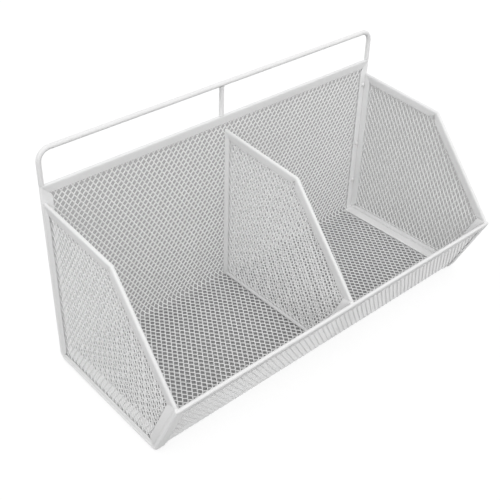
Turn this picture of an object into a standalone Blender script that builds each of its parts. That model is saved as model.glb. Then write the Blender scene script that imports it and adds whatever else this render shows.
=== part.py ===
"""Two-bay hanging basket of expanded steel mesh, edged with folded steel strip.

One bent mesh sheet makes the back, the floor and the lip. Two side panels and
a middle divider of the same five-sided outline stand in it. A bent wire above
the back hangs the basket on a hook rail.

Metres, +Z up, +X to the right, the lip towards -Y. The model is built from the
middle plane of the back sheet and then moved to the middle of its own depth.
"""
import math

import bmesh
import bpy
from mathutils import Matrix, Vector

# Main sizes
width = 0.430
back_height = 0.2035
floor_depth = 0.1563
lip_height = 0.0769
lip_reach = 0.0334

# Side panels and divider: rear corner, and the break in the top edge
panel_rear_height = 0.1872
panel_break_forward = 0.1061
panel_break_height = 0.1778
panel_inset = 0.0005

# Sheet metal
clearance = 0.0003
mesh_thickness = 0.0014
strip_sheet = 0.0010
strip_thickness = mesh_thickness + 2 * (clearance + strip_sheet)
bend_radius = 0.0060

# How far each folded strip reaches over the mesh
back_top_leg = 0.0090
back_side_leg = 0.0115
floor_side_leg = 0.0150
lip_side_leg = 0.0095
lip_top_leg = 0.0085
panel_rear_leg = 0.0080
panel_top_leg = 0.0090
panel_front_leg = 0.0085
panel_bottom_leg = 0.0090
top_strip_inner_radius = 0.0010

# Openings of the expanded mesh, drawn larger than the real ones
lattice_pitch = 0.0310
lattice_long_share = 1.48
lattice_strand = 0.0050
lattice_tuck = 0.0020
lattice_land = 0.0010
lattice_sliver_share = 0.06

# Hanging wire
wire_diameter = 0.0050
hanger_rise = 0.0347
hanger_corner_radius = 0.0160
strut_offset = 0.0050

# Rivets in the rear corners
rivet_diameter = 0.0048
rivet_dome = 0.0025
rivet_height_shares = {"lower": 0.226, "middle": 0.477, "upper": 0.857}

# Smoothness of round stretches, as counts
crest_steps = 6
bend_steps = 6
half_bend_steps = bend_steps // 2
wire_arc_steps = 8
rivet_sides = 12
rivet_rings = 8

# Overrun of the cutters beyond the sheet
overrun = 0.0020

# Sizes that follow from the ones above
half_width = width / 2
crest_radius = strip_thickness / 2
floor_level = crest_radius
lip_angle = math.atan2(lip_reach, lip_height - floor_level)
lip_length = math.hypot(lip_reach, lip_height - floor_level)
lip_turn = math.pi / 2 - lip_angle
wire_radius = wire_diameter / 2
rear_reach = max(crest_radius, wire_radius)
front_reach = floor_depth + lip_reach + crest_radius * (1 - math.sin(lip_angle))
centre_shift = (front_reach - rear_reach) / 2
seam_angle = clearance / 2 / (bend_radius - crest_radius)

x_axis = Vector((1, 0, 0))
y_axis = Vector((0, 1, 0))
z_axis = Vector((0, 0, 1))
lip_up = Vector((0, -math.sin(lip_angle), math.cos(lip_angle)))
lip_out = Vector((0, -math.cos(lip_angle), -math.sin(lip_angle)))

# Corners of the bent sheet on its middle plane
rear_corner = Vector((0, 0, floor_level))
front_corner = Vector((0, -floor_depth, floor_level))
lip_end = front_corner + lip_up * lip_length


def clear_scene():
    for item in list(bpy.data.objects):
        bpy.data.objects.remove(item, do_unlink=True)
    for group in list(bpy.data.collections):
        bpy.data.collections.remove(group)


def new_collection(name):
    group = bpy.data.collections.new(name)
    bpy.context.scene.collection.children.link(group)
    return group


def powder_coat(name, colour, roughness):
    finish = bpy.data.materials.new(name)
    finish.use_nodes = True
    shader = finish.node_tree.nodes["Principled BSDF"]
    shader.inputs["Base Color"].default_value = colour
    shader.inputs["Roughness"].default_value = roughness
    shader.inputs["Metallic"].default_value = 0.0
    finish.diffuse_color = colour
    return finish


def add_part(name, data, finish):
    part = bpy.data.objects.new(name, data)
    data.materials.append(finish)
    basket.objects.link(part)
    part.parent = origin
    return part


def add_mesh_part(name, work, finish, smooth=False):
    bmesh.ops.recalc_face_normals(work, faces=work.faces)
    data = bpy.data.meshes.new(name)
    work.to_mesh(data)
    work.free()
    if smooth:
        data.shade_smooth()
        data.set_sharp_from_angle(angle=math.radians(40))
    return add_part(name, data, finish)


def add_cutter(name, work):
    bmesh.ops.recalc_face_normals(work, faces=work.faces)
    data = bpy.data.meshes.new(name)
    work.to_mesh(data)
    work.free()
    cutter = bpy.data.objects.new(name, data)
    cutters.objects.link(cutter)
    cutter.parent = origin
    cutter.hide_render = True
    cutter.display_type = "WIRE"
    return cutter


def cut_from(part, cutter):
    change = part.modifiers.new("mesh openings", "BOOLEAN")
    change.operation = "DIFFERENCE"
    change.solver = "EXACT"
    change.object = cutter


def swept_solid(points, moves):
    """Sweep a closed outline through straight runs and turns about X."""
    work = bmesh.new()
    first = work.faces.new([work.verts.new(point) for point in points])
    face = first
    for kind, value, centre, steps in moves:
        for _ in range(steps):
            made = bmesh.ops.extrude_face_region(work, geom=[face])["geom"]
            if face != first:
                bmesh.ops.delete(work, geom=[face], context="FACES_ONLY")
            face = next(item for item in made if isinstance(item, bmesh.types.BMFace))
            if kind == "run":
                bmesh.ops.translate(work, vec=value, verts=face.verts)
            else:
                step_turn = Matrix.Rotation(value / steps, 3, "X")
                bmesh.ops.rotate(work, cent=centre, matrix=step_turn, verts=face.verts)
    return work


def turned_section(points, centre, angle):
    """Carry an outline back round a bend, about X."""
    turning = Matrix.Rotation(angle, 3, "X")
    return [centre + turning @ (point - centre) for point in points]


def run(vector):
    return ("run", vector, None, 1)


def turn(angle, centre, steps):
    return ("turn", angle, centre, steps)


def cut_away(work, point, normal):
    """Remove what lies beyond a plane and close the solid again."""
    geometry = work.verts[:] + work.edges[:] + work.faces[:]
    made = bmesh.ops.bisect_plane(
        work, geom=geometry, plane_co=point, plane_no=normal, clear_outer=True
    )["geom_cut"]
    edges = [item for item in made if isinstance(item, bmesh.types.BMEdge)]
    if edges:
        bmesh.ops.holes_fill(work, edges=edges, sides=0)


def strip_section(origin_point, across, inward, leg):
    """Outline of a folded strip: two legs joined by a round crest."""
    inner_radius = crest_radius - strip_sheet
    outline = []
    for step in range(crest_steps + 1):
        angle = math.pi * step / crest_steps
        outline.append((crest_radius * math.cos(angle), crest_radius * (1 - math.sin(angle))))
    outline.append((-crest_radius, leg))
    outline.append((-inner_radius, leg))
    for step in range(crest_steps, -1, -1):
        angle = math.pi * step / crest_steps
        outline.append((inner_radius * math.cos(angle), crest_radius - inner_radius * math.sin(angle)))
    outline.append((inner_radius, leg))
    outline.append((crest_radius, leg))
    return [origin_point + across * u + inward * w for u, w in outline]


def mitre_away(work, corner, along, other):
    """Cut a strip at a corner on the plane that halves the corner's angle.

    along and other point from the corner along this strip and its neighbour.
    """
    halving = (along.normalized() + other.normalized()).normalized()
    in_plane = along - halving * along.dot(halving)
    inward = in_plane.normalized()
    cut_away(work, corner + inward * (clearance / 2), -inward)


def sheet_bends():
    """Centres of the two bends and the run lengths between them."""
    rear_centre = rear_corner + Vector((0, -bend_radius, bend_radius))
    setback = bend_radius * math.tan(lip_turn / 2)
    front_centre = front_corner + y_axis * setback + z_axis * bend_radius
    back_run = back_height - floor_level - bend_radius
    floor_run = floor_depth - bend_radius - setback
    lip_run = lip_length - setback
    return rear_centre, front_centre, back_run, floor_run, lip_run


def diamond_cutter(name, outline, place):
    """Rows of diamond openings, trimmed to a flat outline.

    outline lists the corners anticlockwise in the plane, place turns the
    plane's axes (short way, long way, through) into the model's.
    """
    left = min(point[0] for point in outline)
    low = min(point[1] for point in outline)
    across_size = max(point[0] for point in outline) - left
    along_size = max(point[1] for point in outline) - low
    columns = round(across_size / lattice_pitch)
    rows = round(along_size / (lattice_pitch * lattice_long_share))
    half_across = across_size / columns / 2
    half_along = along_size / rows / 2
    inner_radius = half_across * half_along / math.hypot(half_across, half_along)
    open_share = 1 - lattice_strand / 2 / inner_radius
    size = Matrix.Diagonal((half_across * open_share, half_along * open_share, 1, 1))
    work = bmesh.new()
    for column in range(2 * columns + 1):
        for row in range(column % 2, 2 * rows + 1, 2):
            spot = Matrix.Translation((left + column * half_across, low + row * half_along, 0))
            bmesh.ops.create_circle(work, cap_ends=True, segments=4, radius=1, matrix=spot @ size)
    for first, second in zip(outline, outline[1:] + outline[:1]):
        edge = Vector((second[0] - first[0], second[1] - first[1], 0))
        outward = Vector((edge.y, -edge.x, 0)).normalized()
        bmesh.ops.bisect_plane(
            work,
            geom=work.verts[:] + work.edges[:] + work.faces[:],
            plane_co=(first[0], first[1], 0),
            plane_no=outward,
            clear_outer=True,
        )
    smallest = 2 * half_across * half_along * open_share ** 2 * lattice_sliver_share
    slivers = [face for face in work.faces if face.calc_area() < smallest]
    bmesh.ops.delete(work, geom=slivers, context="FACES")
    depth = mesh_thickness + overrun
    made = bmesh.ops.extrude_face_region(work, geom=work.faces[:])["geom"]
    verts = [item for item in made if isinstance(item, bmesh.types.BMVert)]
    bmesh.ops.translate(work, vec=z_axis * depth, verts=verts)
    bmesh.ops.translate(work, vec=z_axis * (-depth / 2), verts=work.verts)
    bmesh.ops.transform(work, matrix=place, verts=work.verts)
    return add_cutter(name, work)


def plane_matrix(origin_point, across, along):
    through = across.cross(along)
    columns = Matrix((across, along, through)).transposed().to_4x4()
    return Matrix.Translation(origin_point) @ columns


def sheet_section(start, across):
    """Outline of the mesh sheet, cut square across its middle plane."""
    half_sheet = half_width - crest_radius
    half_mesh = mesh_thickness / 2
    return [
        start + x_axis * half_sheet + across * half_mesh,
        start - x_axis * half_sheet + across * half_mesh,
        start - x_axis * half_sheet - across * half_mesh,
        start + x_axis * half_sheet - across * half_mesh,
    ]


def openings_across(sheet, name, edge, start, end, place):
    """Cut openings over a rectangle of the sheet, as wide as its side strips leave."""
    field = [(-edge, start), (edge, start), (edge, end), (-edge, end)]
    cut_from(sheet, diamond_cutter(name, field, place))


def make_basket_mesh():
    """The bent mesh sheet, in three stretches that meet in the middle of its bends."""
    rear_centre, front_centre, back_run, floor_run, lip_run = sheet_bends()
    rear_half = math.pi / 4 - seam_angle
    front_half = lip_turn / 2 - seam_angle

    top = Vector((0, 0, back_height - crest_radius))
    work = swept_solid(sheet_section(top, y_axis), [
        run(-z_axis * (back_run - crest_radius)),
        turn(-rear_half, rear_centre, half_bend_steps),
    ])
    sheet = add_mesh_part("back_mesh", work, coat)
    start = floor_level + bend_radius + lattice_land
    end = back_height - back_top_leg + lattice_tuck
    place = plane_matrix(Vector((0, 0, 0)), x_axis, z_axis)
    openings_across(sheet, "back_openings", half_width - back_side_leg + lattice_tuck, start, end, place)

    floor_start = Vector((0, rear_centre.y, floor_level))
    section = turned_section(sheet_section(floor_start, -z_axis), rear_centre, rear_half)
    work = swept_solid(section, [
        turn(-rear_half, rear_centre, half_bend_steps),
        run(-y_axis * floor_run),
        turn(-front_half, front_centre, half_bend_steps),
    ])
    sheet = add_mesh_part("floor_mesh", work, coat)
    start = -rear_centre.y + lattice_land
    end = -front_centre.y - lattice_land
    place = plane_matrix(rear_corner, x_axis, -y_axis)
    openings_across(sheet, "floor_openings", half_width - floor_side_leg + lattice_tuck, start, end, place)

    work = swept_solid(sheet_section(lip_end - lip_up * crest_radius, lip_out), [
        run(-lip_up * (lip_run - crest_radius)),
        turn(front_half, front_centre, half_bend_steps),
    ])
    sheet = add_mesh_part("lip_mesh", work, coat)
    start = lip_length - lip_run + lattice_land
    end = lip_length - lip_top_leg + lattice_tuck
    place = plane_matrix(front_corner, x_axis, lip_up)
    openings_across(sheet, "lip_openings", half_width - lip_side_leg + lattice_tuck, start, end, place)


def make_cross_strips():
    """The strips along the top of the back and along the top of the lip."""
    back_left = Vector((-half_width, 0, back_height))
    back_right = Vector((half_width, 0, back_height))
    work = swept_solid(
        strip_section(back_left, y_axis, -z_axis, back_top_leg), [run(x_axis * width)]
    )
    mitre_away(work, back_left, x_axis, -z_axis)
    mitre_away(work, back_right, -x_axis, -z_axis)
    add_mesh_part("back_top_strip", work, coat, smooth=True)

    lip_left = lip_end - x_axis * half_width
    lip_right = lip_end + x_axis * half_width
    work = swept_solid(
        strip_section(lip_left, -lip_out, -lip_up, lip_top_leg), [run(x_axis * width)]
    )
    mitre_away(work, lip_left, x_axis, -lip_up)
    mitre_away(work, lip_right, -x_axis, -lip_up)
    add_mesh_part("lip_top_strip", work, coat, smooth=True)


def make_side_strips(side, sign):
    """The strips along one end of the back, the floor and the lip."""
    rear_centre, front_centre, back_run, floor_run, lip_run = sheet_bends()
    rear_half = math.pi / 4 - seam_angle
    front_half = lip_turn / 2 - seam_angle
    edge = x_axis * (sign * half_width)
    inward = x_axis * -sign

    top = Vector((0, 0, back_height)) + edge
    work = swept_solid(strip_section(top, y_axis, inward, back_side_leg), [
        run(-z_axis * back_run),
        turn(-rear_half, rear_centre, half_bend_steps),
    ])
    mitre_away(work, top, -z_axis, inward)
    add_mesh_part("back_%s_strip" % side, work, coat, smooth=True)

    start = Vector((0, rear_centre.y, floor_level)) + edge
    section = strip_section(start, -z_axis, inward, floor_side_leg)
    work = swept_solid(turned_section(section, rear_centre, rear_half), [
        turn(-rear_half, rear_centre, half_bend_steps),
        run(-y_axis * floor_run),
        turn(-front_half, front_centre, half_bend_steps),
    ])
    add_mesh_part("floor_%s_strip" % side, work, coat, smooth=True)

    end = lip_end + edge
    work = swept_solid(strip_section(end, lip_out, inward, lip_side_leg), [
        run(-lip_up * lip_run),
        turn(front_half, front_centre, half_bend_steps),
    ])
    mitre_away(work, end, -lip_up, inward)
    add_mesh_part("lip_%s_strip" % side, work, coat, smooth=True)


def panel_corners(rear_gap, floor_gap, lip_gap):
    """Corners of a panel, A at the rear top and on round over B, C, D and E.

    The gaps are the distances from the sheet's middle plane to the panel.
    """
    inner_corner = front_corner - lip_out * lip_gap
    corner_d = inner_corner + lip_up * ((floor_level + floor_gap - inner_corner.z) / lip_up.z)
    corner_e = Vector((0, -rear_gap, floor_level + floor_gap))
    corner_b = Vector((0, -panel_break_forward, panel_break_height))
    rear_top = Vector((0, 0, panel_rear_height))
    slope = (corner_b - rear_top) / (corner_b.y - rear_top.y)
    corner_a = rear_top + slope * (-rear_gap)
    fall = (lip_end - corner_b).normalized()
    reach = (inner_corner - corner_b).dot(lip_out) / fall.dot(lip_out)
    corner_c = corner_b + fall * reach
    return corner_a, corner_b, corner_c, corner_d, corner_e


def clip_corner(work, corner, turn_angle, gap, outward):
    """Cut a panel's corner back so that it clears the bend in the sheet."""
    arc_radius = bend_radius - gap
    away = arc_radius / math.cos(turn_angle / 2)
    centre = corner - outward * away
    cut_away(work, centre + outward * (arc_radius * math.cos(turn_angle / 4)), outward)


def inset_outline(corners, insets):
    """Corners of the outline whose edges are each moved in by their inset."""
    lines = []
    for index, corner in enumerate(corners):
        following = corners[(index + 1) % len(corners)]
        along = (following - corner).normalized()
        inward = x_axis.cross(along)
        lines.append((corner + inward * insets[index], along))
    points = []
    for index in range(len(corners)):
        before_point, before = lines[index - 1]
        point, along = lines[index]
        normal = x_axis.cross(before)
        reach = (before_point - point).dot(normal) / along.dot(normal)
        points.append(point + along * reach)
    return points


def make_panel(name, x_place, gaps):
    """A flat mesh panel with strips folded over its five edges."""
    rear_gap, floor_gap, lip_gap = gaps
    corners = panel_corners(rear_gap, floor_gap, lip_gap)
    shift = x_axis * x_place
    a, b, c, d, e = [corner + shift for corner in corners]
    up = z_axis
    forward = -y_axis
    to_b = (b - a).normalized()
    to_c = (c - b).normalized()
    rear_out = (y_axis - z_axis).normalized()
    front_out = (lip_out - z_axis).normalized()

    work = swept_solid(strip_section(e, x_axis, forward, panel_rear_leg), [run(a - e)])
    mitre_away(work, a, -up, to_b)
    mitre_away(work, e, up, forward)
    clip_corner(work, e, math.pi / 2, rear_gap, rear_out)
    add_mesh_part("%s_rear_strip" % name, work, coat, smooth=True)

    break_turn = to_b.angle(to_c)
    break_radius = panel_top_leg + top_strip_inner_radius
    setback = break_radius * math.tan(break_turn / 2)
    inward = x_axis.cross(to_b)
    break_start = b - to_b * setback
    break_centre = break_start + inward * break_radius
    work = swept_solid(strip_section(a, x_axis, inward, panel_top_leg), [
        run(break_start - a),
        turn(break_turn, break_centre, bend_steps),
        run(to_c * ((c - b).length - setback)),
    ])
    mitre_away(work, a, to_b, -up)
    mitre_away(work, c, -to_c, -lip_up)
    add_mesh_part("%s_top_strip" % name, work, coat, smooth=True)

    work = swept_solid(strip_section(d, x_axis, -lip_out, panel_front_leg), [run(c - d)])
    mitre_away(work, c, -lip_up, -to_c)
    mitre_away(work, d, lip_up, y_axis)
    clip_corner(work, d, lip_turn, lip_gap, front_out)
    add_mesh_part("%s_front_strip" % name, work, coat, smooth=True)

    work = swept_solid(strip_section(e, x_axis, up, panel_bottom_leg), [run(d - e)])
    mitre_away(work, e, forward, up)
    mitre_away(work, d, y_axis, lip_up)
    clip_corner(work, e, math.pi / 2, rear_gap, rear_out)
    clip_corner(work, d, lip_turn, lip_gap, front_out)
    add_mesh_part("%s_bottom_strip" % name, work, coat, smooth=True)

    sheet = inset_outline([a, b, c, d, e], [crest_radius] * 5)
    half_mesh = mesh_thickness / 2
    work = swept_solid([point - x_axis * half_mesh for point in sheet], [run(x_axis * mesh_thickness)])
    clip_corner(work, sheet[4], math.pi / 2, rear_gap + crest_radius, rear_out)
    clip_corner(work, sheet[3], lip_turn, lip_gap + crest_radius, front_out)
    panel = add_mesh_part("%s_mesh" % name, work, coat)

    legs = (panel_top_leg, panel_top_leg, panel_front_leg, panel_bottom_leg, panel_rear_leg)
    field = inset_outline([a, b, c, d, e], [leg - lattice_tuck for leg in legs])
    outline = [(point.y, point.z) for point in field]
    place = plane_matrix(shift, y_axis, z_axis)
    cut_from(panel, diamond_cutter("%s_openings" % name, outline, place))


def make_hanger():
    """The bent wire above the back, and the strut at its middle."""
    foot = back_height + clearance
    rail = back_height + hanger_rise
    leg_x = half_width - wire_radius
    points = [Vector((-leg_x, 0, foot))]
    for sign in (-1, 1):
        centre = Vector((sign * (leg_x - hanger_corner_radius), 0, rail - hanger_corner_radius))
        for step in range(wire_arc_steps + 1):
            share = step / wire_arc_steps
            angle = math.pi - math.pi / 2 * share if sign < 0 else math.pi / 2 * (1 - share)
            points.append(centre + Vector((math.cos(angle), 0, math.sin(angle))) * hanger_corner_radius)
    points.append(Vector((leg_x, 0, foot)))

    data = bpy.data.curves.new("hanger_wire", "CURVE")
    data.dimensions = "3D"
    data.bevel_depth = wire_radius
    data.bevel_resolution = 2
    data.use_fill_caps = True
    spline = data.splines.new("POLY")
    spline.points.add(len(points) - 1)
    for spot, point in zip(spline.points, points):
        spot.co = (*point, 1)
    add_part("hanger_wire", data, coat)

    strut_length = rail - wire_radius - clearance - foot
    work = bmesh.new()
    bmesh.ops.create_cone(
        work,
        cap_ends=True,
        segments=rivet_sides,
        radius1=wire_radius,
        radius2=wire_radius,
        depth=strut_length,
        matrix=Matrix.Translation((-strut_offset, 0, foot + strut_length / 2)),
    )
    add_mesh_part("hanger_strut", work, coat, smooth=True)


def make_rivets(side, sign):
    """Domed rivets on the back strip, beside the side panel."""
    radius = rivet_diameter / 2
    x_place = half_width - panel_inset - strip_thickness - clearance - radius
    face = -crest_radius - clearance
    lying = Matrix.Rotation(math.pi / 2, 4, "X")
    size = Matrix.Diagonal((radius, radius, rivet_dome, 1))
    for level, share in rivet_height_shares.items():
        spot = Matrix.Translation((sign * x_place, face, back_height * share))
        work = bmesh.new()
        bmesh.ops.create_uvsphere(
            work, u_segments=rivet_sides, v_segments=rivet_rings, radius=1, matrix=spot @ lying @ size
        )
        cut_away(work, Vector((0, face, 0)), y_axis)
        add_mesh_part("%s_%s_rivet" % (side, level), work, coat, smooth=True)


clear_scene()
basket = new_collection("hanging_kitchen_basket")
cutters = new_collection("cutters")
origin = bpy.data.objects.new("basket_origin", None)
basket.objects.link(origin)
origin.location = (0, centre_shift, 0)
coat = powder_coat("white powder coat", (0.82, 0.82, 0.83, 1.0), 0.45)

make_basket_mesh()
make_cross_strips()
make_hanger()
on_strip = crest_radius + clearance
on_mesh = mesh_thickness / 2 + clearance
side_place = half_width - panel_inset - crest_radius
for side, sign in (("left", -1), ("right", 1)):
    make_side_strips(side, sign)
    make_panel("%s_panel" % side, sign * side_place, (on_strip, on_strip, on_strip))
    make_rivets(side, sign)
make_panel("divider", 0, (on_mesh, on_mesh, on_strip))
bpy.context.view_layer.update()
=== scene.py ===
import math

import bmesh
import bpy
from mathutils import Matrix, Vector


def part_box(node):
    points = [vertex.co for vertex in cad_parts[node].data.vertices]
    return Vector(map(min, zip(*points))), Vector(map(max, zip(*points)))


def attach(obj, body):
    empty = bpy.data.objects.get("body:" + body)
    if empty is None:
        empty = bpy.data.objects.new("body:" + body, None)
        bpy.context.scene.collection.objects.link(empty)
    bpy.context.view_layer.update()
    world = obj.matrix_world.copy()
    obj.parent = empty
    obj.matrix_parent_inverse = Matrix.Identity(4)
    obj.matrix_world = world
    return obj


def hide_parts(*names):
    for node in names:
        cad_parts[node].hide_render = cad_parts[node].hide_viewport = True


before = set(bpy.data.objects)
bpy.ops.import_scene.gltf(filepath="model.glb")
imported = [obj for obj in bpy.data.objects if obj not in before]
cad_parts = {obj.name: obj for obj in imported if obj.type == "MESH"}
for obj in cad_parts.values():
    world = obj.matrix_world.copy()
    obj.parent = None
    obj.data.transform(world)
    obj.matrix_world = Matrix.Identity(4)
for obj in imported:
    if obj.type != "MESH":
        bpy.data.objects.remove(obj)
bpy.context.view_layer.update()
bpy.ops.object.select_all(action="DESELECT")

xAxis = Vector((1, 0, 0))
yAxis = Vector((0, 1, 0))
zAxis = Vector((0, 0, 1))

# The basket's own sizes in metres, the rest is read from the frame
basket = {
    "stripThickness": 0.0040,
    "meshHalf": 0.0007,        # half the depth of the pulled mesh
    "bendRadius": 0.0060,      # middle plane of the mesh sheet
    "floorDepth": 0.1563,      # back plane to the corner under the lip
    "lipReach": 0.0334,        # how far the lip's top stands in front of that corner
    "lipHeight": 0.0769,
    "panelRearHeight": 0.1872,
    "breakForward": 0.1061,    # the break in the panels' top edge
    "breakHeight": 0.1778,
    "clearance": 0.0003,       # between the panels and the sheet they stand in
}

backLow, backHigh = [Vector(corner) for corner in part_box("back_top_strip")]
halfWidth = -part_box("back_left_strip")[0][0]
backPlane = (backLow.y + backHigh.y) / 2
backTop = backHigh.z
crestRadius = basket["stripThickness"] / 2
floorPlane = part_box("floor_left_strip")[0][2] + crestRadius
lipLean = math.atan2(basket["lipReach"], basket["lipHeight"] - floorPlane)
lipLength = math.hypot(basket["lipReach"], basket["lipHeight"] - floorPlane)
lipTurn = math.pi / 2 - lipLean
lipUp = Vector((0, -math.sin(lipLean), math.cos(lipLean)))
lipOut = Vector((0, -math.cos(lipLean), -math.sin(lipLean)))
rearCorner = Vector((0, backPlane, floorPlane))
frontCorner = rearCorner - yAxis * basket["floorDepth"]
lipEnd = frontCorner + lipUp * lipLength
bendRadius = basket["bendRadius"]
frontSetback = bendRadius * math.tan(lipTurn / 2)
rearCentre = rearCorner + Vector((0, -bendRadius, bendRadius))
frontCentre = frontCorner + Vector((0, frontSetback, bendRadius))


def toLinear(hexColour):
    channels = []
    for start in (1, 3, 5):
        value = int(hexColour[start:start + 2], 16) / 255
        channels.append(value / 12.92 if value <= 0.04045 else ((value + 0.055) / 1.055) ** 2.4)
    return (*channels, 1.0)


def addNode(material, kind, settings=None, links=None):
    # links: own socket -> (node, its output)
    node = material.node_tree.nodes.new(kind)
    for key, value in (settings or {}).items():
        if key in node.inputs:
            node.inputs[key].default_value = value
        else:
            setattr(node, key, value)
    for socket, (source, output) in (links or {}).items():
        material.node_tree.links.new(source.outputs[output], node.inputs[socket])
    return node


# White polyester powder coat on steel: sprayed dry and baked, so it is thick, satin
# and very slightly rippled like orange peel, and it rounds every small edge
powderCoat = {
    "white": "#EBEBEB",
    "shade": "#E4E4E4",
    "rippleSize": 0.0016,      # metres from crest to crest
    "rippleDepth": 0.000012,
    "cloudSize": 0.040,        # patches of slightly different shade and gloss
    "roughness": (0.38, 0.47),
}


def makePowderCoat(name):
    material = bpy.data.materials.new(name)
    material.use_nodes = True
    material.node_tree.nodes.clear()
    place = addNode(material, "ShaderNodeTexCoord")
    cloud = addNode(material, "ShaderNodeTexNoise", {
        "Scale": 1 / powderCoat["cloudSize"], "Detail": 2.0, "Roughness": 0.5,
    }, {"Vector": (place, "Object")})
    colour = addNode(material, "ShaderNodeMix", {"data_type": "RGBA"}, {"Factor": (cloud, "Fac")})
    # the mix node's two colours
    colour.inputs[6].default_value = toLinear(powderCoat["white"])
    colour.inputs[7].default_value = toLinear(powderCoat["shade"])
    ripple = addNode(material, "ShaderNodeTexNoise", {
        "Scale": 1 / powderCoat["rippleSize"], "Detail": 1.0, "Roughness": 0.4,
    }, {"Vector": (place, "Object")})
    bump = addNode(material, "ShaderNodeBump", {
        "Strength": 1.0, "Distance": powderCoat["rippleDepth"],
    }, {"Height": (ripple, "Fac")})
    gloss = addNode(material, "ShaderNodeMapRange", {
        "To Min": powderCoat["roughness"][0], "To Max": powderCoat["roughness"][1],
    }, {"Value": (cloud, "Fac")})
    shader = addNode(material, "ShaderNodeBsdfPrincipled", {"IOR": 1.5, "Metallic": 0.0}, {
        "Base Color": (colour, 2), "Roughness": (gloss, "Result"), "Normal": (bump, "Normal"),
    })
    addNode(material, "ShaderNodeOutputMaterial", None, {"Surface": (shader, "BSDF")})
    return material


coat = makePowderCoat("white polyester powder coat")
print("powder coat mixed")

# Tolerances of the modelling steps
mergeGap = 0.00002             # strands of neighbouring cells meet closer than this
shortestEdge = 0.00001
lineWidth = 0.000001           # a point this near to a bend line is on it


def pick(piece):
    bpy.ops.object.select_all(action="DESELECT")
    piece.select_set(True)
    bpy.context.view_layer.objects.active = piece


def applyPlace(piece):
    pick(piece)
    bpy.ops.object.transform_apply(location=True, rotation=True, scale=True)


def editOn(piece, mode="VERT"):
    pick(piece)
    bpy.ops.object.mode_set(mode="EDIT")
    bpy.ops.mesh.select_mode(type=mode)


def editOff():
    bpy.ops.object.mode_set(mode="OBJECT")


def selectVerts(piece, test):
    work = bmesh.from_edit_mesh(piece.data)
    for vert in work.verts:
        vert.select_set(test(vert.co))
    work.select_flush(True)
    work.select_flush(False)
    bmesh.update_edit_mesh(piece.data)


def extrude(step):
    bpy.ops.mesh.extrude_region_move(TRANSFORM_OT_translate={"value": step})


def turnFacesOut():
    bpy.ops.mesh.select_all(action="SELECT")
    bpy.ops.mesh.normals_make_consistent(inside=False)


def applyAll(piece):
    pick(piece)
    for modifier in list(piece.modifiers):
        bpy.ops.object.modifier_apply(modifier=modifier.name)


def cutOff(piece, point, outward, fill=True):
    editOn(piece)
    bpy.ops.mesh.select_all(action="SELECT")
    bpy.ops.mesh.bisect(plane_co=point, plane_no=outward, clear_outer=True, use_fill=fill)
    editOff()


def finishPiece(piece, nodes, smoothAngle=35):
    applyPlace(piece)
    bpy.ops.object.shade_smooth_by_angle(angle=math.radians(smoothAngle))
    piece.data.materials.clear()
    piece.data.materials.append(coat)
    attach(piece, "root")
    if nodes:
        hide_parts(*nodes)
    piece.select_set(False)


# Expanded steel: a sheet is slit and pulled open, which tips every strand the same way
basketCell = {
    "shortWay": 0.00604,
    "longWay": 0.0091,
    "strandWidth": 0.00095,
    "sheet": 0.00105,          # with its coat
    "bond": 0.0009,            # length of the crossings, where two strands stay joined
    "tilt": math.radians(60),
    "bendSteps": 4,
    "smoothAngle": 30,
}
panelCell = {
    "shortWay": 0.0060,
    "longWay": 0.0097,
    "strandWidth": 0.0009,
    "sheet": 0.0009,
    "bond": 0.0009,
    "tilt": math.radians(54),
    "smoothAngle": 30,
}


def slitSheet(name, low, high, cell):
    # Flat on z = 0 from corner low to corner high and past them, long way along Y
    acrossStep = cell["strandWidth"] * math.cos(cell["tilt"])
    dropStep = cell["strandWidth"] * math.sin(cell["tilt"])
    spare = 2                  # cells past the edges, cut off afterwards
    columns = math.ceil((high[0] - low[0]) / cell["shortWay"]) + spare
    rows = math.ceil((high[1] - low[1]) / cell["longWay"]) + spare
    bpy.ops.mesh.primitive_plane_add(size=1, location=(0, 0, 0))
    piece = bpy.context.object
    piece.name = name
    editOn(piece)
    # one crossing, tipped about the long way, then the strand on to the next and back
    bpy.ops.mesh.select_all(action="SELECT")
    bpy.ops.transform.resize(value=(acrossStep, cell["bond"], 1))
    bpy.ops.transform.translate(value=(acrossStep / 2, cell["bond"] / 2, 0))
    selectVerts(piece, lambda co: co.x > acrossStep / 2)
    bpy.ops.transform.translate(value=(0, 0, -dropStep))
    selectVerts(piece, lambda co: co.y > cell["bond"] / 2)
    strandRun = cell["longWay"] / 2 - cell["bond"]
    for step in (
        Vector((cell["shortWay"] / 2 - acrossStep, strandRun, dropStep)),
        Vector((0, cell["bond"], 0)),
        Vector((acrossStep - cell["shortWay"] / 2, strandRun, -dropStep)),
    ):
        extrude(step)
    editOff()
    # a row, its neighbour half a cell on, and the rest of the pairs
    for offset, count in (
        ((0, cell["longWay"], 0), rows),
        ((cell["shortWay"] / 2, cell["longWay"] / 2, 0), 2),
        ((cell["shortWay"], 0, 0), columns),
    ):
        array = piece.modifiers.new("cells", "ARRAY")
        array.use_relative_offset = False
        array.use_constant_offset = True
        array.constant_offset_displace = offset
        array.count = count
    applyAll(piece)
    editOn(piece)
    bpy.ops.mesh.select_all(action="SELECT")
    bpy.ops.mesh.remove_doubles(threshold=mergeGap)
    middle = ((low[0] + high[0]) / 2, (low[1] + high[1]) / 2)
    shift = (middle[0] - columns * cell["shortWay"] / 2, middle[1] - rows * cell["longWay"] / 2, 0)
    bpy.ops.transform.translate(value=shift)
    editOff()
    return piece


def thicken(piece, thickness):
    editOn(piece)
    bpy.ops.mesh.select_all(action="SELECT")
    bpy.ops.mesh.dissolve_degenerate(threshold=shortestEdge)
    editOff()
    wall = piece.modifiers.new("sheet", "SOLIDIFY")
    wall.thickness = thickness
    wall.offset = 0
    applyAll(piece)


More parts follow.
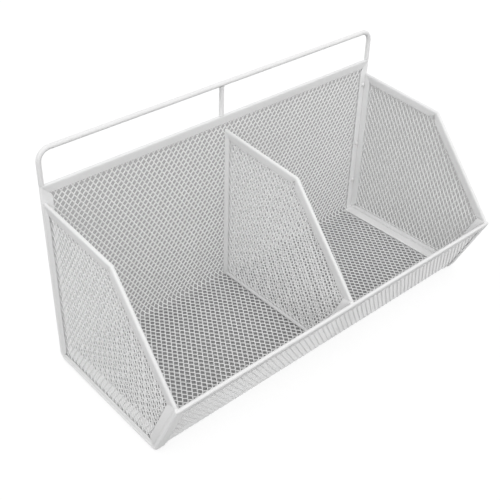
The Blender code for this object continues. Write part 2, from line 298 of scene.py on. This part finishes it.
def pressBend(piece, start, direction, radius, angle, steps):
    # Press-brake bend of a sheet lying at floorPlane: far lines first
    stepAngle = angle / steps
    half = radius * math.tan(stepAngle / 2)
    for index in reversed(range(steps)):
        line = start + direction * half * (2 * index + 1)
        editOn(piece)
        bpy.ops.mesh.select_all(action="SELECT")
        bpy.ops.mesh.bisect(plane_co=(0, line, floorPlane), plane_no=(0, 1, 0))
        selectVerts(piece, lambda co: (co.y - line) * direction > lineWidth)
        # with no window the turn goes the other way
        bpy.ops.transform.rotate(
            value=-stepAngle * direction, orient_axis="X", center_override=(0, line, floorPlane)
        )
        editOff()


def makeBasketSheet():
    rearStart = rearCentre.y
    frontStart = frontCentre.y
    steps = basketCell["bendSteps"]
    rearArc = 2 * steps * bendRadius * math.tan(math.pi / 4 / steps)
    frontArc = 2 * steps * bendRadius * math.tan(lipTurn / 2 / steps)
    backRun = backTop - crestRadius - rearCentre.z
    lipRun = lipLength - frontSetback - crestRadius
    low = (-(halfWidth - crestRadius), frontStart - frontArc - lipRun)
    high = (halfWidth - crestRadius, rearStart + rearArc + backRun)
    piece = slitSheet("expandedSheet", low, high, basketCell)
    for point, outward in (
        ((low[0], 0, 0), -xAxis), ((high[0], 0, 0), xAxis),
        ((0, low[1], 0), -yAxis), ((0, high[1], 0), yAxis),
    ):
        cutOff(piece, point, outward, fill=False)
    editOn(piece)
    bpy.ops.mesh.select_all(action="SELECT")
    bpy.ops.transform.translate(value=(0, 0, floorPlane))
    editOff()
    pressBend(piece, rearStart, 1, bendRadius, math.pi / 2, steps)
    pressBend(piece, frontStart, -1, bendRadius, lipTurn, steps)
    thicken(piece, basketCell["sheet"])
    finishPiece(piece, ["back_mesh", "floor_mesh", "lip_mesh"], basketCell["smoothAngle"])


# Five-sided panels, their top edge breaks on its way from the back down to the lip
panelBreak = Vector((0, backPlane - basket["breakForward"], basket["breakHeight"]))
panelRear = Vector((0, backPlane, basket["panelRearHeight"]))


def panelCorners(rearGap, floorGap, lipGap):
    inner = frontCorner - lipOut * lipGap
    frontFoot = inner + lipUp * ((floorPlane + floorGap - inner.z) / lipUp.z)
    rearFoot = Vector((0, backPlane - rearGap, floorPlane + floorGap))
    rearTop = panelRear + (panelBreak - panelRear) * (rearGap / basket["breakForward"])
    fall = (lipEnd - panelBreak).normalized()
    frontTop = panelBreak + fall * ((inner - panelBreak).dot(lipOut) / fall.dot(lipOut))
    return rearTop, panelBreak, frontTop, frontFoot, rearFoot


def makePanelMesh(name, node, xPlace, corners):
    low = (min(point.y for point in corners), min(point.z for point in corners))
    high = (max(point.y for point in corners), max(point.z for point in corners))
    piece = slitSheet(name, low, high, panelCell)
    # stand it up: its short way goes along the depth, its long way upwards
    piece.matrix_world = Matrix(((0, 0, 1, xPlace), (1, 0, 0, 0), (0, 1, 0, 0), (0, 0, 0, 1)))
    applyPlace(piece)
    for point, following in zip(corners, corners[1:] + corners[:1]):
        outward = -xAxis.cross(following - point).normalized()
        cutOff(piece, point - outward * crestRadius, outward, fill=False)
    thicken(piece, panelCell["sheet"])
    finishPiece(piece, [node], panelCell["smoothAngle"])


# Folded strip: one narrow sheet folded over the edge, with a round crest
foldedStrip = {
    "sheet": 0.00085,
    "crestSegments": 12,
    "bendSegments": 8,
    "edgeRound": 0.00015,
    "edgeSegments": 2,
    "sharpAngle": math.radians(45),
    "seam": 0.00006,           # gap between two strips that meet
    "notch": 0.0012,           # nick in the inner corner of a mitre
    "breakNotch": 0.0060,      # the same at the break of a panel's top strip
    "flatBand": 0.0004,        # keeps the leg flat beside its rounded edges
    "backTopLeg": 0.0090,
    "backSideLeg": 0.0115,
    "floorSideLeg": 0.0150,
    "lipSideLeg": 0.0095,
    "lipTopLeg": 0.0085,
    "panelRearLeg": 0.0080,
    "panelTopLeg": 0.0090,
    "panelFrontLeg": 0.0085,
    "panelBottomLeg": 0.0052,
}


def startStrip(name, start, across, inward, leg):
    # The fold's middle line as a chain of edges: half a circle and two legs
    middle = crestRadius - foldedStrip["sheet"] / 2
    hair = middle * 0.01       # less than the step between two points of the crest
    bpy.ops.mesh.primitive_circle_add(
        vertices=2 * foldedStrip["crestSegments"], radius=middle, fill_type="NOTHING",
        location=(0, 0, 0),
    )
    piece = bpy.context.object
    piece.name = name
    editOn(piece)
    selectVerts(piece, lambda co: co.y > hair)
    bpy.ops.mesh.delete(type="VERT")
    bpy.ops.mesh.select_all(action="SELECT")
    bpy.ops.transform.translate(value=(0, crestRadius, 0))
    selectVerts(piece, lambda co: co.y > crestRadius - hair)
    band = foldedStrip["flatBand"]
    for step in (band, leg - crestRadius - 2 * band, band):
        extrude((0, step, 0))
    editOff()
    along = across.cross(inward)
    turn = Matrix((across, inward, along)).transposed().to_4x4()
    piece.matrix_world = Matrix.Translation(start) @ turn
    applyPlace(piece)
    return piece


def sweepStrip(piece, moves):
    # each move is a straight run, or a bend's centre and angle
    editOn(piece, "EDGE")
    bpy.ops.mesh.select_all(action="SELECT")
    for move in moves:
        if isinstance(move, Vector):
            extrude(move)
        else:
            centre, angle = move
            # the spin tool counts its angle the other way round
            bpy.ops.mesh.spin(
                steps=foldedStrip["bendSegments"], angle=-angle, center=centre, axis=xAxis
            )
    turnFacesOut()
    editOff()
    thicken(piece, foldedStrip["sheet"])


def mitreStrip(piece, corner, along, other, leg, notch=foldedStrip["notch"]):
    # Cut on the corner's bisector, and nick the inner corner as the press tool does
    along = along.normalized()
    halving = (along + other.normalized()).normalized()
    inward = (along - halving * along.dot(halving)).normalized()
    cutOff(piece, corner + inward * foldedStrip["seam"] / 2, -inward)
    across = (other.normalized() - along * along.dot(other.normalized())).normalized()
    reach = leg / math.tan(along.angle(other) / 2)
    innerCorner = corner + across * leg + along * reach
    nick = (across - inward).normalized()
    editOn(piece, "FACE")
    work = bmesh.from_edit_mesh(piece.data)
    for face in work.faces:
        nearest = min((vert.co - innerCorner).length for vert in face.verts)
        face.select_set(nearest < leg)
    bmesh.update_edit_mesh(piece.data)
    bpy.ops.mesh.bisect(
        plane_co=innerCorner - nick * notch / 2, plane_no=nick,
        clear_outer=True, use_fill=True,
    )
    editOff()


def finishStrip(piece, node):
    edge = piece.modifiers.new("paint round", "BEVEL")
    edge.width = foldedStrip["edgeRound"]
    edge.segments = foldedStrip["edgeSegments"]
    edge.limit_method = "ANGLE"
    edge.angle_limit = foldedStrip["sharpAngle"]
    applyAll(piece)
    finishPiece(piece, [node])


def makeCrossStrips():
    for wall, middle, across, down in (
        ("back", Vector((0, backPlane, backTop)), yAxis, -zAxis),
        ("lip", lipEnd, -lipOut, -lipUp),
    ):
        left = middle - xAxis * halfWidth
        right = middle + xAxis * halfWidth
        leg = foldedStrip[wall + "TopLeg"]
        piece = startStrip(wall + "TopStrip", left, across, down, leg)
        sweepStrip(piece, [right - left])
        mitreStrip(piece, left, xAxis, down, leg)
        mitreStrip(piece, right, -xAxis, down, leg)
        finishStrip(piece, wall + "_top_strip")


def makeSideStrips(side, sign):
    edge = xAxis * halfWidth * sign
    inward = xAxis * -sign
    # the strips of back, floor and lip meet halfway round the two bends
    seamTurn = foldedStrip["seam"] / 2 / (bendRadius - crestRadius)
    rearHalf = math.pi / 4 - seamTurn
    frontHalf = lipTurn / 2 - seamTurn

    leg = foldedStrip["backSideLeg"]
    top = Vector((0, backPlane, backTop)) + edge
    piece = startStrip("back%sStrip" % side, top, yAxis, inward, leg)
    sweepStrip(piece, [-zAxis * (backTop - rearCentre.z), (rearCentre, -rearHalf)])
    mitreStrip(piece, top, -zAxis, inward, leg)
    finishStrip(piece, "back_%s_strip" % side.lower())

    leg = foldedStrip["floorSideLeg"]
    rearTurned = Matrix.Rotation(rearHalf, 3, "X")
    start = rearCentre + rearTurned @ Vector((0, 0, -bendRadius)) + edge
    piece = startStrip("floor%sStrip" % side, start, rearTurned @ -zAxis, inward, leg)
    sweepStrip(piece, [
        (rearCentre, -rearHalf), -yAxis * (rearCentre.y - frontCentre.y),
        (frontCentre, -frontHalf),
    ])
    finishStrip(piece, "floor_%s_strip" % side.lower())

    leg = foldedStrip["lipSideLeg"]
    end = lipEnd + edge
    piece = startStrip("lip%sStrip" % side, end, lipOut, inward, leg)
    sweepStrip(piece, [-lipUp * (lipLength - frontSetback), (frontCentre, frontHalf)])
    mitreStrip(piece, end, -lipUp, inward, leg)
    finishStrip(piece, "lip_%s_strip" % side.lower())


def clipCorner(piece, corner, turnAngle, gap, outward):
    # Take off the panel's foot, so that it clears the bend in the sheet
    arc = bendRadius - gap
    centre = corner - outward * arc / math.cos(turnAngle / 2)
    cutOff(piece, centre + outward * arc * math.cos(turnAngle / 4), outward)


# A weld bridges the two round crests at the lip
lipWeld = {
    "segments": 16,
    "rings": 10,
    "flatten": 0.98,
    "smoothAngle": 60,
}


def makeLipWeld(name, place):
    bpy.ops.mesh.primitive_uv_sphere_add(
        segments=lipWeld["segments"], ring_count=lipWeld["rings"], radius=crestRadius,
        rotation=(0, math.pi / 2, 0), location=place,
    )
    piece = bpy.context.object
    piece.name = name
    editOn(piece)
    bpy.ops.mesh.select_all(action="SELECT")
    bpy.ops.transform.resize(value=(1, 1, lipWeld["flatten"]))
    editOff()
    finishPiece(piece, None, lipWeld["smoothAngle"])


def makePanelStrips(name, node, xPlace, corners, gaps):
    rearGap, lipGap = gaps[0], gaps[2]
    placed = [corner + xAxis * xPlace for corner in corners]
    rearTop, turn, frontTop, frontFoot, rearFoot = placed
    toTurn = (turn - rearTop).normalized()
    toLip = (frontTop - turn).normalized()
    rearOut = (yAxis - zAxis).normalized()
    frontOut = (lipOut - zAxis).normalized()

    leg = foldedStrip["panelRearLeg"]
    piece = startStrip(name + "RearStrip", rearFoot, xAxis, -yAxis, leg)
    sweepStrip(piece, [rearTop - rearFoot])
    mitreStrip(piece, rearTop, -zAxis, toTurn, leg)
    mitreStrip(piece, rearFoot, zAxis, -yAxis, leg)
    clipCorner(piece, rearFoot, math.pi / 2, rearGap, rearOut)
    finishStrip(piece, node + "_rear_strip")

    # notched at the break, bent there to a sharp corner and welded
    leg = foldedStrip["panelTopLeg"]
    fall = startStrip(name + "TopFall", turn, xAxis, xAxis.cross(toLip), leg)
    sweepStrip(fall, [frontTop - turn])
    mitreStrip(fall, turn, toLip, -toTurn, leg, foldedStrip["breakNotch"])
    mitreStrip(fall, frontTop, -toLip, -lipUp, leg)
    piece = startStrip(name + "TopStrip", rearTop, xAxis, xAxis.cross(toTurn), leg)
    sweepStrip(piece, [turn - rearTop])
    mitreStrip(piece, rearTop, toTurn, -zAxis, leg)
    mitreStrip(piece, turn, -toTurn, toLip, leg, foldedStrip["breakNotch"])
    pick(piece)
    fall.select_set(True)
    bpy.ops.object.join()
    finishStrip(piece, node + "_top_strip")

    leg = foldedStrip["panelFrontLeg"]
    piece = startStrip(name + "FrontStrip", frontFoot, xAxis, -lipOut, leg)
    sweepStrip(piece, [frontTop - frontFoot])
    mitreStrip(piece, frontTop, -lipUp, -toLip, leg)
    mitreStrip(piece, frontFoot, lipUp, yAxis, leg)
    clipCorner(piece, frontFoot, lipTurn, lipGap, frontOut)
    finishStrip(piece, node + "_front_strip")

    leg = foldedStrip["panelBottomLeg"]
    piece = startStrip(name + "BottomStrip", rearFoot, xAxis, zAxis, leg)
    sweepStrip(piece, [frontFoot - rearFoot])
    mitreStrip(piece, rearFoot, -yAxis, zAxis, leg)
    mitreStrip(piece, frontFoot, yAxis, lipUp, leg)
    clipCorner(piece, rearFoot, math.pi / 2, rearGap, rearOut)
    clipCorner(piece, frontFoot, lipTurn, lipGap, frontOut)
    finishStrip(piece, node + "_bottom_strip")

    touch = (frontTop + lipEnd + xAxis * xPlace) / 2
    makeLipWeld(name + "LipWeld", touch + xAxis.cross(toLip) * crestRadius)


# A side panel is welded into the sheet's strips, and the coat fills the seam outside
bead = {
    "radius": 0.0016,
    "outward": 0.00025,        # from the panel's middle plane, on the seam's outer side
    "sides": 12,
    "bendSegments": 8,
}


def makeSeamBead(side, xBead, gap, corners):
    middle = (crestRadius + gap) / 2
    top = corners[0].z - crestRadius
    bpy.ops.mesh.primitive_circle_add(
        vertices=bead["sides"], radius=bead["radius"], fill_type="NGON",
        location=(xBead, backPlane - middle, top),
    )
    piece = bpy.context.object
    piece.name = side + "SeamBead"
    applyPlace(piece)
    editOn(piece, "FACE")
    bpy.ops.mesh.select_all(action="SELECT")
    extrude((0, 0, rearCentre.z - top))
    bpy.ops.mesh.spin(
        steps=bead["bendSegments"], angle=math.pi / 2, center=rearCentre, axis=xAxis
    )
    extrude((0, frontCentre.y - rearCentre.y, 0))
    bpy.ops.mesh.spin(
        steps=bead["bendSegments"], angle=lipTurn, center=frontCentre, axis=xAxis
    )
    rise = (corners[2] - frontCentre).dot(lipUp) - crestRadius
    extrude(lipUp * rise)
    turnFacesOut()
    editOff()
    finishPiece(piece, None)


# Drawn wire, bent cold round two pins and welded on
hanger = {
    "radius": 0.0025,
    "sides": 20,
    "cornerRadius": 0.0120,
    "bendSegments": 12,
    "weldWidth": 0.0007,       # the strut's ends are wider by this on both sides
    "weldHeight": 0.0009,
}


def makeHanger():
    low, high = [Vector(corner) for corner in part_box("hanger_wire")]
    radius = hanger["radius"]
    foot = low.z
    rail = high.z - radius
    legX = high.x - radius
    corner = hanger["cornerRadius"]
    bpy.ops.mesh.primitive_circle_add(
        vertices=hanger["sides"], radius=radius, fill_type="NGON",
        location=(-legX, backPlane, foot),
    )
    piece = bpy.context.object
    piece.name = "hangerWire"
    applyPlace(piece)
    editOn(piece, "FACE")
    bpy.ops.mesh.select_all(action="SELECT")
    extrude((0, 0, rail - corner - foot))
    bpy.ops.mesh.spin(
        steps=hanger["bendSegments"], angle=-math.pi / 2,
        center=(-legX + corner, backPlane, rail - corner), axis=yAxis,
    )
    extrude((2 * (legX - corner), 0, 0))
    bpy.ops.mesh.spin(
        steps=hanger["bendSegments"], angle=-math.pi / 2,
        center=(legX - corner, backPlane, rail - corner), axis=yAxis,
    )
    extrude((0, 0, foot - rail + corner))
    turnFacesOut()
    editOff()
    finishPiece(piece, ["hanger_wire"])

    low, high = [Vector(corner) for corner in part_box("hanger_strut")]
    middle = (low + high) / 2
    bpy.ops.mesh.primitive_cylinder_add(
        vertices=hanger["sides"], radius=radius, depth=high.z - low.z, location=middle
    )
    piece = bpy.context.object
    piece.name = "hangerStrut"
    applyPlace(piece)
    # the weld spreads the strut's foot and head a little
    editOn(piece)
    for level, direction in ((low.z, 1), (high.z, -1)):
        bpy.ops.mesh.select_all(action="SELECT")
        bpy.ops.mesh.bisect(
            plane_co=(0, 0, level + direction * hanger["weldHeight"]), plane_no=(0, 0, 1)
        )
        selectVerts(piece, lambda co: abs(co.z - level) < hanger["weldHeight"] / 2)
        spread = 1 + hanger["weldWidth"] / radius
        bpy.ops.transform.resize(value=(spread, 1, 1), center_override=(middle.x, middle.y, level))
    editOff()
    finishPiece(piece, ["hanger_strut"])


# Domed head of a rivet: half of a flattened ball
rivet = {
    "segments": 24,
    "rings": 16,
}


def makeRivet(node):
    low, high = [Vector(corner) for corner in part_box(node)]
    middle = (low + high) / 2
    bpy.ops.mesh.primitive_uv_sphere_add(
        segments=rivet["segments"], ring_count=rivet["rings"], radius=1,
        location=(middle.x, high.y, middle.z), rotation=(math.pi / 2, 0, 0),
    )
    piece = bpy.context.object
    parts = node.split("_")
    piece.name = parts[0] + parts[1].capitalize() + "Rivet"
    piece.scale = ((high.x - low.x) / 2, (high.z - low.z) / 2, high.y - low.y)
    applyPlace(piece)
    cutOff(piece, (0, high.y, 0), yAxis)
    finishPiece(piece, [node])


makeBasketSheet()
print("expanded sheet bent into back, floor and lip")

makeCrossStrips()
print("strips folded over the top edges of back and lip")

stripGap = crestRadius + basket["clearance"]
meshGap = basket["meshHalf"] + basket["clearance"]
gaps = (stripGap, stripGap, stripGap)
corners = panelCorners(*gaps)
for side, sign in (("Left", -1), ("Right", 1)):
    makeSideStrips(side, sign)
    node = side.lower() + "_panel"
    low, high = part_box(node + "_rear_strip")
    xPlace = (low[0] + high[0]) / 2
    makePanelMesh(side.lower() + "PanelMesh", node + "_mesh", xPlace, corners)
    makePanelStrips(side.lower() + "Panel", node, xPlace, corners, gaps)
    makeSeamBead(side.lower(), xPlace + sign * bead["outward"], stripGap, corners)
    print(side.lower() + " end closed: strips, panel and seam")

# the divider stands on the mesh between the strips
gaps = (meshGap, meshGap, stripGap)
corners = panelCorners(*gaps)
makePanelMesh("dividerMesh", "divider_mesh", 0, corners)
makePanelStrips("divider", "divider", 0, corners, gaps)
print("divider welded in")

makeHanger()
for side in ("left", "right"):
    for level in ("lower", "middle", "upper"):
        makeRivet("%s_%s_rivet" % (side, level))
print("hanger and rivets on")


# Light from all round, a little less from above, and one broad soft key
lights = {
    "horizon": 1.25,           # and below it
    "zenith": 0.73,
    "key": 0.28,               # light on a surface that faces it, where white paper is 1
    "keyFrom": (-0.40, -0.62, 0.76),
    "keyDistance": 3.0,
    "keySpread": math.radians(70),
}


def makeLights():
    world = bpy.data.worlds.new("studio")
    bpy.context.scene.world = world
    world.use_nodes = True
    world.node_tree.nodes.clear()
    direction = addNode(world, "ShaderNodeTexCoord")
    height = addNode(world, "ShaderNodeSeparateXYZ", None, {"Vector": (direction, "Generated")})
    strength = addNode(world, "ShaderNodeMapRange", {
        "To Min": lights["horizon"], "To Max": lights["zenith"],
    }, {"Value": (height, "Z")})
    sky = addNode(world, "ShaderNodeBackground", {"Color": toLinear("#FFFFFF")}, {
        "Strength": (strength, "Result"),
    })
    addNode(world, "ShaderNodeOutputWorld", None, {"Surface": (sky, "Background")})
    keyFrom = Vector(lights["keyFrom"])
    bpy.ops.object.light_add(type="SUN", location=keyFrom * lights["keyDistance"])
    key = bpy.context.object
    key.name = "softKey"
    key.data.energy = lights["key"] * math.pi
    key.data.angle = lights["keySpread"]
    key.rotation_euler = keyFrom.to_track_quat("Z", "Y").to_euler()


# Camera solved from the photograph: its edges and corners land within about a pixel
camera = {
    "place": (-0.5029, -0.4849, 0.5975),
    "tilt": math.radians(55.81),
    "turn": math.radians(-39.83),
    "lens": 61.04,
    "sensor": 36,
    "shift": (0.080, -0.064),
}


def makeCamera():
    bpy.ops.object.camera_add(
        location=camera["place"], rotation=(camera["tilt"], 0, camera["turn"])
    )
    view = bpy.context.object
    view.data.lens = camera["lens"]
    view.data.sensor_width = camera["sensor"]
    view.data.shift_x, view.data.shift_y = camera["shift"]
    bpy.context.scene.camera = view


# White paper all round. Under and behind the basket lies a grey sheet of painted shadow, standing
# in for the shade that shows through the mesh. It is cut to the basket's outline from the camera's
# place, so from there the basket hides its edges
stage = {
    "paperSize": 30.0,
    "paperDrop": 0.0005,       # below the painted shadow sheet
    "paper": "#828282",
    "paperGlow": 0.80,
    # grey of the painted shadow behind and under the basket
    "paintedShadow": "#A4A4A4",
    "paintedShadowGlow": 0,
    "paintedShadowTrim": 0.004,         # off the painted shadow sheet all round, out of sight behind the strips
}


def makeSurface(name, colour, glow):
    material = bpy.data.materials.new(name)
    material.use_nodes = True
    material.node_tree.nodes.clear()
    surface = addNode(material, "ShaderNodeBsdfDiffuse", {"Color": toLinear(colour)})
    output = "BSDF"
    if glow:
        # the eye and reflections see it white, the lamps still draw the shadow on it
        path = addNode(material, "ShaderNodeLightPath")
        seen = addNode(material, "ShaderNodeMath", {"operation": "MAXIMUM"}, {
            0: (path, "Is Camera Ray"), 1: (path, "Is Glossy Ray"),
        })
        strength = addNode(material, "ShaderNodeMath", {"operation": "MULTIPLY"}, {
            0: (seen, "Value"),
        })
        strength.inputs[1].default_value = glow
        light = addNode(material, "ShaderNodeEmission", None, {"Strength": (strength, "Value")})
        surface = addNode(material, "ShaderNodeAddShader", None, {
            0: (surface, "BSDF"), 1: (light, "Emission"),
        })
        output = "Shader"
    addNode(material, "ShaderNodeOutputMaterial", None, {"Surface": (surface, output)})
    return material


def makeFloor():
    bpy.ops.mesh.primitive_plane_add(size=stage["paperSize"], location=(0, 0, -stage["paperDrop"]))
    paper = bpy.context.object
    paper.name = "paleFloor"
    white = makeSurface("white paper sweep", stage["paper"], stage["paperGlow"])
    paper.data.materials.append(white)

    # the basket's outline seen from the camera's place, drawn on the floor as a sheet of painted
    # shadow
    eye = Vector(camera["place"])
    side = xAxis * halfWidth
    backEdge = Vector((0, backPlane, backTop))
    outline = (
        frontCorner - side, rearCorner - side, backEdge - side, backEdge + side,
        panelRear + side, panelBreak + side, lipEnd + side, frontCorner + side,
    )
    bpy.ops.mesh.primitive_circle_add(
        vertices=len(outline), radius=1, fill_type="NGON", location=(0, 0, 0)
    )
    paintedShadow = bpy.context.object
    paintedShadow.name = "paintedShadowSheet"
    for vert, corner in zip(paintedShadow.data.vertices, outline):
        onFloor = eye + (corner - eye) * eye.z / (eye.z - corner.z)
        vert.co = (onFloor.x, onFloor.y, 0)
    editOn(paintedShadow, "FACE")
    turnFacesOut()
    bpy.ops.mesh.inset(thickness=stage["paintedShadowTrim"], depth=0)
    bpy.ops.mesh.select_all(action="INVERT")
    bpy.ops.mesh.delete(type="FACE")
    editOff()
    # grey with no glow: painted shadow where the basket's shade falls
    paintedShadow.data.materials.append(makeSurface("painted shadow sheet", stage["paintedShadow"], stage["paintedShadowGlow"]))


makeLights()
makeCamera()
makeFloor()
bpy.context.scene.view_settings.view_transform = "Standard"
print("lights, camera and floor set")
